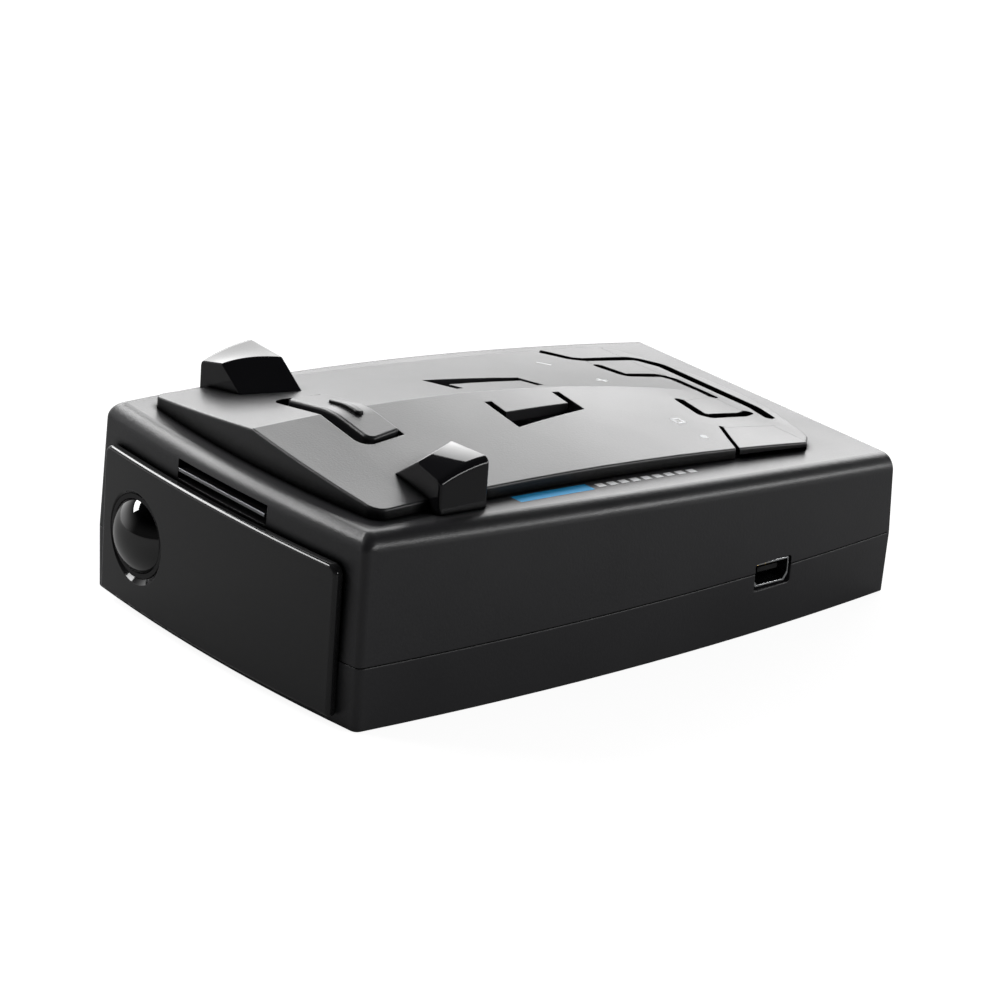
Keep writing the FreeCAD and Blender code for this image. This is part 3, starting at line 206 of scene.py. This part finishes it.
def metal(name, look):
    # Rolled or plated metal: fine lines or spangle along one direction, slightly uneven gloss.
    material, tree, shader, place = newMaterial(name)
    setSockets(shader, {"Metallic": 1.0})
    stretched = addNode(tree, "ShaderNodeMapping", {"Scale": look["stretch"]}, {"Vector": place})
    lines = addNode(tree, "ShaderNodeTexNoise", {"Scale": scaleFor(look["lineMm"]), "Detail": 4.0},
                    {"Vector": stretched.outputs["Vector"]})
    mixed = addNode(tree, "ShaderNodeMix", {"data_type": "RGBA"}, {0: lines.outputs["Fac"]})
    mixed.inputs[6].default_value = hexColour(look["dark"])
    mixed.inputs[7].default_value = hexColour(look["light"])
    tree.links.new(mixed.outputs[2], shader.inputs["Base Color"])
    gloss = addNode(tree, "ShaderNodeMapRange",
                    {"To Min": look["roughness"] - metalSet["glossDrift"],
                     "To Max": look["roughness"] + metalSet["glossDrift"]},
                    {"Value": lines.outputs["Fac"]})
    tree.links.new(gloss.outputs["Result"], shader.inputs["Roughness"])
    edge = addNode(tree, "ShaderNodeBevel", {"samples": 6, "Radius": metalSet["edgeMm"] * mm})
    bump = addNode(tree, "ShaderNodeBump",
                   {"Strength": metalSet["bump"], "Distance": metalSet["depthMm"] * mm},
                   {"Height": lines.outputs["Fac"], "Normal": edge.outputs["Normal"]})
    tree.links.new(bump.outputs["Normal"], shader.inputs["Normal"])
    return material


springLook = {"dark": "#7d7f82", "light": "#a2a4a6", "roughness": 0.3,
              "lineMm": 0.25, "stretch": (0.05, 1.0, 1.0)}
socketLook = {"dark": "#b9bbbd", "light": "#d8dadb", "roughness": 0.22,
              "lineMm": 0.4, "stretch": (0.2, 1.0, 1.0)}
screwLook = {"dark": "#2b2b2d", "light": "#4a4a4d", "roughness": 0.35,
             "lineMm": 0.3, "stretch": (1.0, 1.0, 1.0)}
goldLook = {"dark": "#b08a3c", "light": "#d9b865", "roughness": 0.25,
            "lineMm": 0.2, "stretch": (0.2, 1.0, 1.0)}
tinLook = {"dark": "#8f9295", "light": "#b6b9bb", "roughness": 0.3, "lineMm": 1.5, "stretch": (1.0, 1.0, 1.0)}
castLook = {"dark": "#77797b", "light": "#8f9193", "roughness": 0.5,
            "lineMm": 0.5, "stretch": (1.0, 1.0, 1.0)}


def wovenCloth(look):
    # Speaker cloth: crossing threads, dark in the gaps, so it reads as fabric and not as a black hole.
    material, tree, shader, place = newMaterial("wovenPolyester")
    setSockets(shader, {"Roughness": look["roughness"], "Sheen Weight": look["sheen"],
                        "Sheen Roughness": 0.5})
    waves = []
    for axis in ("X", "Y"):
        waves.append(addNode(tree, "ShaderNodeTexWave",
                             {"wave_type": "BANDS", "bands_direction": axis,
                              "Scale": scaleFor(look["threadMm"]) / wavesPerScale, "Distortion": 0.4},
                             {"Vector": place}))
    weave = addNode(tree, "ShaderNodeMath", {"operation": "MULTIPLY"},
                    {0: waves[0].outputs["Fac"], 1: waves[1].outputs["Fac"]})
    mixed = addNode(tree, "ShaderNodeMix", {"data_type": "RGBA"}, {0: weave.outputs["Value"]})
    mixed.inputs[6].default_value = hexColour(look["gap"])
    mixed.inputs[7].default_value = hexColour(look["thread"])
    tree.links.new(mixed.outputs[2], shader.inputs["Base Color"])
    bump = addNode(tree, "ShaderNodeBump", {"Strength": look["bump"], "Distance": look["depthMm"] * mm},
                   {"Height": weave.outputs["Value"]})
    tree.links.new(bump.outputs["Normal"], shader.inputs["Normal"])
    return material


clothLook = {"gap": "#020202", "thread": "#121213", "threadMm": 0.35, "roughness": 0.85, "sheen": 0.3,
             "bump": 0.6, "depthMm": 0.05}
wavesPerScale = 20  # a wave texture repeats about 20 times a metre at scale 1


# a thin matte coat: its gloss runs between "smooth" and "matte" with the speckle
inkSet = {"ior": 1.5, "specular": 0.3, "smooth": 0.4, "matte": 0.55, "bump": 0.2, "depthMm": 0.01}


def printedInk(name, look):
    # Screen-printed ink, and other thin matte coats: flat and opaque, speckled where cover is starved.
    material, tree, shader, place = newMaterial(name)
    setSockets(shader, {"IOR": inkSet["ior"], "Specular IOR Level": inkSet["specular"]})
    speckle = addNode(tree, "ShaderNodeTexNoise", {"Scale": scaleFor(look["speckleMm"]), "Detail": 4.0},
                      {"Vector": place})
    mixed = addNode(tree, "ShaderNodeMix", {"data_type": "RGBA"}, {0: speckle.outputs["Fac"]})
    mixed.inputs[6].default_value = hexColour(look["dark"])
    mixed.inputs[7].default_value = hexColour(look["light"])
    tree.links.new(mixed.outputs[2], shader.inputs["Base Color"])
    gloss = addNode(tree, "ShaderNodeMapRange", {"To Min": inkSet["smooth"], "To Max": inkSet["matte"]},
                    {"Value": speckle.outputs["Fac"]})
    tree.links.new(gloss.outputs["Result"], shader.inputs["Roughness"])
    bump = addNode(tree, "ShaderNodeBump", {"Strength": inkSet["bump"], "Distance": inkSet["depthMm"] * mm},
                   {"Height": speckle.outputs["Fac"]})
    tree.links.new(bump.outputs["Normal"], shader.inputs["Normal"])
    return material


blueInkLook = {"dark": "#0a86bc", "light": "#149ad2", "speckleMm": 0.35}
whiteInkLook = {"dark": "#c4c6c8", "light": "#dfe0e1", "speckleMm": 0.3}
labelLook = {"dark": "#a9abad", "light": "#b7b9bb", "speckleMm": 0.6}
boardLook = {"dark": "#0e3320", "light": "#14452b", "speckleMm": 1.2}
chipLook = {"dark": "#141414", "light": "#1c1c1c", "speckleMm": 0.4}
ribbonLook = {"dark": "#8a5a1c", "light": "#a36d28", "speckleMm": 2.0}
paperLook = {"dark": "#1a1917", "light": "#242320", "speckleMm": 0.5}
magnetLook = {"dark": "#3b3a39", "light": "#4b4a48", "speckleMm": 0.6}


def smokedAcrylic(look):
    # Smoked acrylic: a dark clear pane; the display behind it shows faintly.
    material, tree, shader, place = newMaterial("smokedAcrylic")
    setSockets(shader, {"Base Color": hexColour(look["tint"]), "IOR": look["ior"],
                        "Transmission Weight": look["transmission"]})
    smear = addNode(tree, "ShaderNodeTexNoise", {"Scale": scaleFor(look["smearMm"]), "Detail": 2.0},
                    {"Vector": place})
    gloss = addNode(tree, "ShaderNodeMapRange",
                    {"From Min": 0.4, "From Max": 0.7, "To Min": look["clean"], "To Max": look["smeared"]},
                    {"Value": smear.outputs["Fac"]})
    tree.links.new(gloss.outputs["Result"], shader.inputs["Roughness"])
    return material


smokedLook = {"tint": "#3a3034", "ior": 1.49, "transmission": 0.8, "smearMm": 9, "clean": 0.04,
              "smeared": 0.09}


def dressCadParts():
    dress(mouldedPlastic("mouldedAbsGrained", caseLook), "upper_shell")
    dress(mouldedPlastic("mouldedAbsBase", dict(caseLook, paintedShadeMm=0.25, edgeMm=0.35)), "lower_shell")
    dress(mouldedPlastic("mouldedAbsSatin", plateLook), "top_plate", "key_1", "key_2", "key_3", "key_4")
    # the tab's painted shade reaches further, so its slot walls go dark
    dress(mouldedPlastic("mouldedAbsTab", dict(plateLook, paintedShadeMm=1.2)), "release_tab")
    dress(mouldedPlastic("polishedAbs", finLook), "right_fin", "left_fin", "lens_ring")
    dress(mouldedPlastic("polishedPolycarbonate", windowLook), "front_window")
    dress(mouldedPlastic("mouldedAbsInner", innerLook), "bracket_guide", "usb_insert", "speaker_frame",
          "key_switches")
    dress(castLens(lensLook), "laser_lens")
    dress(metal("rolledSpringSteel", springLook), "bracket_spring")
    dress(metal("tinPlatedSteel", socketLook), "usb_shell")
    dress(metal("blackZincScrew", screwLook), "case_screws", "board_screws")
    dress(metal("tinnedCan", tinLook), "shield_can")
    dress(metal("dieCastZinc", castLook), "horn_antenna", "mixer_block")
    dress(wovenCloth(clothLook), "speaker_cloth")
    dress(printedInk("solderMask", boardLook), "main_board", "key_board", "laser_sensor")
    dress(printedInk("epoxyPackage", chipLook), "main_chips", "display_module")
    dress(printedInk("polyimideRibbon", ribbonLook), "key_ribbon")
    dress(printedInk("pressedPaper", paperLook), "speaker_cone")
    dress(printedInk("sinteredFerrite", magnetLook), "speaker_magnet")
    dress(smokedAcrylic(smokedLook), "display_window")


dressCadParts()
print("CAD parts have their finishes")


# print on the case and plate

def surfaceOf(*names):
    # one search tree over the named CAD parts
    points, faces = [], []
    for name in names:
        mesh = nodes[name].data
        start = len(points)
        points += [v.co.copy() for v in mesh.vertices]
        faces += [[start + i for i in p.vertices] for p in mesh.polygons]
    return BVHTree.FromPolygons(points, faces)


def drapedPatch(name, flat, surface, lift, material, body=None):
    # flat is a mesh in plan, in metres; every point drops onto the surface and the sheet gets thickness
    high = cadHigh.z + 0.01
    lost = []
    for vert in flat.verts:
        hit = surface.ray_cast(Vector((vert.co.x, vert.co.y, high)), Vector((0, 0, -1)))[0]
        if hit is None:
            lost.append(vert)  # over an open slot
        else:
            vert.co.z = hit.z + lift
    bmesh.ops.delete(flat, geom=lost, context="VERTS")
    mesh = bpy.data.meshes.new(name)
    flat.to_mesh(mesh)
    flat.free()
    mesh.materials.append(material)
    piece = bpy.data.objects.new(name, mesh)
    bpy.context.scene.collection.objects.link(piece)
    thicken = piece.modifiers.new("ink", "SOLIDIFY")
    thicken.thickness = lift + 0.03 * mm
    thicken.offset = -1
    if body:
        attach(piece, body)
    return piece


def stripIn(flat, start, end, width, steps):
    # a straight run in plan between two points, cut into steps
    along = end - start
    across = Vector((-along.y, along.x)).normalized() * width / 2
    rows = []
    for i in range(steps + 1):
        middle = start + along * i / steps
        rows.append([flat.verts.new((*(middle + across), 0)), flat.verts.new((*(middle - across), 0))])
    for a, b in zip(rows, rows[1:]):
        flat.faces.new((a[0], a[1], b[1], b[0]))


sidePrint = {"startY": -22.4, "endY": -7.6, "startX": 29.05, "endX": 28.7, "width": 2.4,
             "tickEndY": 13.6, "tickCount": 9, "tickWidth": 1.3, "tickLength": 1.5, "lift": 0.02}


def makeSidePrint():
    # a blue bar and a row of plain white ticks on the case's right shoulder
    case = surfaceOf("upper_shell")
    slope = (sidePrint["endX"] - sidePrint["startX"]) / (sidePrint["endY"] - sidePrint["startY"])

    def at(y):
        return Vector((sidePrint["startX"] + slope * (y - sidePrint["startY"]), y)) * mm

    bar = bmesh.new()
    stripIn(bar, at(sidePrint["startY"]), at(sidePrint["endY"]), sidePrint["width"] * mm, 24)
    blue = printedInk("blueScreenInk", blueInkLook)
    piece = drapedPatch("accent_bar", bar, case, sidePrint["lift"] * mm, blue, "case")
    ticks = bmesh.new()
    pitch = (sidePrint["tickEndY"] - sidePrint["endY"]) / sidePrint["tickCount"]
    for i in range(sidePrint["tickCount"]):
        y = sidePrint["endY"] + pitch * (i + 0.6)
        stripIn(ticks, at(y), at(y + sidePrint["tickLength"]), sidePrint["tickWidth"] * mm, 4)
    piece = drapedPatch("accent_ticks", ticks, case, sidePrint["lift"] * mm, whiteInk, "case")


whiteInk = printedInk("whiteScreenInk", whiteInkLook)
makeSidePrint()
print("side print made")


# key webs: the keys bend on the plate's own plastic, so a skin bridges each line where no slot is cut

# "hinges" stay with the case; each of "sides" is named after its key and lies along it on the left hand
keyWebs = {"half": 0.3, "lift": 0.012,
           "hinges": [[(-25.5, 40.5), (-19.6, 40.5)], [(-17.3, 40.5), (-9.6, 40.5)],
                      [(2.7, 40.5), (10.2, 40.5)], [(17.35, 40.5), (25.5, 40.5)]],
           "sides": {"key_2": [(-17.4, 30.9), (-14.9, 30.9)], "key_3": [(2.7, 40.5), (5.7, 30.8)],
                     "key_4": [(17.35, 40.5), (17.35, 29.2)]}}


def makeKeyWebs():
    plate = surfaceOf("top_plate", "key_1", "key_2", "key_3", "key_4")
    skin = bmesh.new()
    for start, end in keyWebs["hinges"]:
        stripIn(skin, Vector(start) * mm, Vector(end) * mm, 2 * keyWebs["half"] * mm, 16)
    web = drapedPatch("key_webs", skin, plate, keyWebs["lift"] * mm, webPlastic, "case")
    for key, (start, end) in keyWebs["sides"].items():
        start, end = Vector((*start, 0)) * mm, Vector((*end, 0)) * mm
        skin = bmesh.new()
        stripIn(skin, start.xy, end.xy, 2 * keyWebs["half"] * mm, 16)
        web = drapedPatch(key + "_web", skin, plate, keyWebs["lift"] * mm, webPlastic)
        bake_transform(web)


# print by the keys: one plain mark each, so that they can be told apart
keyMarks = {"size": 2.3, "stroke": 0.5, "lift": 0.015,
            "places": {"bar": (-17.1, 21.3), "cross": (-4.6, 23.0), "square": (14.2, 22.8),
                       "dot": (20.6, 22.6)}}


def makeKeyMarks():
    plate = surfaceOf("top_plate")
    ink = bmesh.new()
    half = keyMarks["size"] / 2
    stroke = keyMarks["stroke"] * mm

    def run(middle, start, end, width):
        stripIn(ink, (Vector(middle) + Vector(start)) * mm, (Vector(middle) + Vector(end)) * mm, width, 4)

    places = keyMarks["places"]
    run(places["bar"], (-half, -half / 2), (half, half / 2), stroke)
    run(places["cross"], (-half, 0), (half, 0), stroke)
    run(places["cross"], (0, -half), (0, half), stroke)
    for k in range(4):
        a, b = math.radians(45 + 90 * k), math.radians(135 + 90 * k)
        corners = [(half * math.cos(t), half * math.sin(t)) for t in (a, b)]
        run(places["square"], *corners, stroke)
    ring = [Vector(places["dot"]) + Vector((math.cos(t), math.sin(t))) * half * 0.6
            for t in (2 * math.pi * k / 20 for k in range(20))]
    ink.faces.new([ink.verts.new((p.x * mm, p.y * mm, 0)) for p in ring])
    marks = drapedPatch("key_marks", ink, plate, keyMarks["lift"] * mm, whiteInk, "case")


webPlastic = mouldedPlastic("mouldedAbsWeb", dict(plateLook, paintedShadeMm=0.05, edgeMm=0.0))
makeKeyWebs()
makeKeyMarks()
print("key webs and marks made")


# small parts that a quick stand-in leaves out

def roundedSlab(name, size, radius, place, material):
    # a bevelled slab, size and place in millimetres
    mesh = bmesh.new()
    bmesh.ops.create_cube(mesh, size=1)
    for vert in mesh.verts:
        vert.co = Vector(c * s for c, s in zip(vert.co, size)) * mm
    bmesh.ops.bevel(mesh, geom=mesh.edges[:], offset=radius * mm, segments=2, affect="EDGES")
    data = bpy.data.meshes.new(name)
    mesh.to_mesh(data)
    mesh.free()
    data.materials.append(material)
    piece = bpy.data.objects.new(name, data)
    bpy.context.scene.collection.objects.link(piece)
    piece.location = Vector(place) * mm
    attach(piece, "case")
    return piece


contactSet = {"count": 5, "pitch": 0.8, "size": (4.6, 0.36, 0.1), "x": 30.6, "y": 26.5, "z": 10.5}
labelSet = {"size": (35.6, 23.6, 0.16), "radius": 0.05, "place": (0, 20, 0.2)}
matrixSet = {"columns": 22, "rows": 5, "pitch": 1.45, "size": 0.9, "y": 50.02, "z": 15.7}


def makeContacts():
    gold = metal("goldPlatedContact", goldLook)
    for i in range(contactSet["count"]):
        y = contactSet["y"] + (i - (contactSet["count"] - 1) / 2) * contactSet["pitch"]
        roundedSlab("contact_%d" % (i + 1), contactSet["size"], 0.03, (contactSet["x"], y, contactSet["z"]),
                    gold)


def makeLabel():
    # a blank type label, one sheet thick, in the recess of the base
    roundedSlab("type_label", labelSet["size"], labelSet["radius"], labelSet["place"],
                printedInk("polyesterLabel", labelLook))


def makeMatrix():
    # unlit dots on the display's face, behind the smoked window
    dots = bmesh.new()
    half = matrixSet["size"] / 2
    for column in range(matrixSet["columns"]):
        for row in range(matrixSet["rows"]):
            x = (column - (matrixSet["columns"] - 1) / 2) * matrixSet["pitch"]
            z = matrixSet["z"] + (row - (matrixSet["rows"] - 1) / 2) * matrixSet["pitch"]
            ring = [(x + half * math.cos(t), matrixSet["y"], z + half * math.sin(t))
                    for t in (2 * math.pi * k / 12 for k in range(12))]
            dots.faces.new([dots.verts.new(Vector(p) * mm) for p in reversed(ring)])
    mesh = bpy.data.meshes.new("display_dots")
    dots.to_mesh(mesh)
    dots.free()
    mesh.materials.append(printedInk("unlitDiode", dotLook))
    piece = bpy.data.objects.new("display_dots", mesh)
    bpy.context.scene.collection.objects.link(piece)
    thick = piece.modifiers.new("lens", "SOLIDIFY")
    thick.thickness = 0.1 * mm
    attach(piece, "case")


dotLook = {"dark": "#6a2a20", "light": "#8a3a2a", "speckleMm": 0.5}
makeContacts()
makeLabel()
makeMatrix()
print("contacts, label and display dots made")


# studio

cameraSet = {"azimuth": 49.361, "elevation": 20.999, "roll": 4.045, "distance": 0.711,
             "aim": (8.71, -7.96, 19.5), "lens": 165.6}


def makeCamera():
    data = bpy.data.cameras.new("camera")
    data.lens = cameraSet["lens"]
    data.sensor_width = 36
    data.clip_start = 0.01
    data.clip_end = 20
    camera = bpy.data.objects.new("camera", data)
    bpy.context.scene.collection.objects.link(camera)
    back = direction(cameraSet["azimuth"], cameraSet["elevation"])
    right = Vector((0, 0, 1)).cross(back).normalized()
    up = back.cross(right)
    basis = Matrix((right, up, back)).transposed().to_4x4()
    place = Matrix.Translation(Vector(cameraSet["aim"]) * mm + back * cameraSet["distance"])
    camera.matrix_world = place @ basis @ Matrix.Rotation(math.radians(cameraSet["roll"]), 4, "Z")
    bpy.context.scene.camera = camera


# each softbox: where it stands round the object, its size in metres and how bright its face is
softboxes = {
    "backSoftbox": {"azimuth": -130.6, "elevation": 23, "distance": 1.3, "width": 1.5, "height": 0.68,
                    "bright": 4.2},
    "sideStrip": {"azimuth": 128, "elevation": 16, "distance": 1.3, "width": 1.1, "height": 0.2,
                  "bright": 9.0},
    "frontStrip": {"azimuth": -72, "elevation": 39, "distance": 1.3, "width": 1.2, "height": 0.28,
                   "bright": 13.0},
}


def makeSoftboxes():
    for name, box in softboxes.items():
        data = bpy.data.lights.new(name, "AREA")
        data.shape = "RECTANGLE"
        data.size = box["width"]
        data.size_y = box["height"]
        data.energy = box["bright"] * math.pi * box["width"] * box["height"]
        lamp = bpy.data.objects.new(name, data)
        bpy.context.scene.collection.objects.link(lamp)
        out = direction(box["azimuth"], box["elevation"])
        lamp.location = out * box["distance"]
        lamp.rotation_mode = "QUATERNION"
        lamp.rotation_quaternion = out.to_track_quat("Z", "Y")
        lamp.visible_camera = False


# "fill" lights the object; "wall" points at the white wall, which fades up to the ceiling and to the front
worldSet = {"white": "#ffffff", "fill": 0.25, "ceiling": 0.02, "bandTop": 0.62,
            "wall": (-0.76, 0.65, 0.0), "front": 0.06}


def rayKinds(tree):
    # outputs that are 1 for a camera ray, and 1 for a glossy or transmitted ray
    path = addNode(tree, "ShaderNodeLightPath")
    mirrored = addNode(tree, "ShaderNodeMath", {"operation": "MAXIMUM"},
                       {0: path.outputs["Is Glossy Ray"], 1: path.outputs["Is Transmission Ray"]})
    return path.outputs["Is Camera Ray"], mirrored.outputs[0]


def makeWorld():
    # white for the camera; in reflections the far wall is white, and falls away to a dark ceiling and front
    world = bpy.data.worlds.new("studio")
    bpy.context.scene.world = world
    world.use_nodes = True
    tree = world.node_tree
    tree.nodes.clear()
    direct, mirrored = rayKinds(tree)
    place = addNode(tree, "ShaderNodeTexCoord").outputs["Generated"]
    height = addNode(tree, "ShaderNodeSeparateXYZ", {}, {"Vector": place})
    band = addNode(tree, "ShaderNodeMapRange",
                   {"interpolation_type": "SMOOTHSTEP", "From Min": 0.1, "From Max": worldSet["bandTop"],
                    "To Min": 1.0, "To Max": worldSet["ceiling"]}, {"Value": height.outputs["Z"]})
    facing = addNode(tree, "ShaderNodeVectorMath", {"operation": "DOT_PRODUCT", 1: worldSet["wall"]},
                     {0: place})
    side = addNode(tree, "ShaderNodeMapRange",
                   {"interpolation_type": "SMOOTHSTEP", "From Min": -0.5, "From Max": 0.4,
                    "To Min": worldSet["front"], "To Max": 1.0}, {"Value": facing.outputs["Value"]})
    room = addNode(tree, "ShaderNodeMath", {"operation": "MULTIPLY"},
                   {0: band.outputs["Result"], 1: side.outputs["Result"]})
    strength = addNode(tree, "ShaderNodeMix", {"data_type": "FLOAT"}, {0: mirrored})
    strength.inputs[2].default_value = worldSet["fill"]
    tree.links.new(room.outputs["Value"], strength.inputs[3])
    final = addNode(tree, "ShaderNodeMix", {"data_type": "FLOAT"},
                    {0: direct, 2: strength.outputs[0]})
    final.inputs[3].default_value = 1.0
    background = addNode(tree, "ShaderNodeBackground", {"Color": hexColour(worldSet["white"])},
                         {"Strength": final.outputs[0]})
    addNode(tree, "ShaderNodeOutputWorld", {}, {"Surface": background.outputs["Background"]})


floorSet = {"size": 6.0, "drop": 0.05, "white": "#8c8c8c", "glow": 0.9, "mirrored": 0.05}


def makeFloor():
    # matte white paper; the glow lifts it to white where it is seen, and the shadow stays
    half = floorSet["size"] / 2
    sheet = bmesh.new()
    corners = [sheet.verts.new((x, y, -floorSet["drop"] * mm))
               for x, y in ((-half, -half), (half, -half), (half, half), (-half, half))]
    sheet.faces.new(corners)
    mesh = bpy.data.meshes.new("floor")
    sheet.to_mesh(mesh)
    sheet.free()
    material = bpy.data.materials.new("matteWhitePaper")
    material.use_nodes = True
    tree = material.node_tree
    tree.nodes.clear()
    matte = addNode(tree, "ShaderNodeBsdfDiffuse", {"Color": hexColour(floorSet["white"])})
    direct, mirrored = rayKinds(tree)
    dimmed = addNode(tree, "ShaderNodeMath", {"operation": "MULTIPLY", 1: floorSet["mirrored"]},
                     {0: mirrored})
    share = addNode(tree, "ShaderNodeMath", {"operation": "MAXIMUM"}, {0: direct, 1: dimmed.outputs[0]})
    glow = addNode(tree, "ShaderNodeMath", {"operation": "MULTIPLY", 1: floorSet["glow"]},
                   {0: share.outputs[0]})
    light = addNode(tree, "ShaderNodeEmission", {}, {"Strength": glow.outputs[0]})
    both = addNode(tree, "ShaderNodeAddShader", {}, {0: matte.outputs[0], 1: light.outputs[0]})
    clear = addNode(tree, "ShaderNodeBsdfTransparent")
    under = addNode(tree, "ShaderNodeNewGeometry").outputs["Backfacing"]  # seen from below it is open
    final = addNode(tree, "ShaderNodeMixShader", {}, {0: under, 1: both.outputs[0], 2: clear.outputs[0]})
    addNode(tree, "ShaderNodeOutputMaterial", {}, {"Surface": final.outputs[0]})
    mesh.materials.append(material)
    floor = bpy.data.objects.new("floor", mesh)
    bpy.context.scene.collection.objects.link(floor)


makeCamera()
makeSoftboxes()
makeWorld()
makeFloor()
bpy.context.scene.view_settings.view_transform = "Standard"
print("studio made")
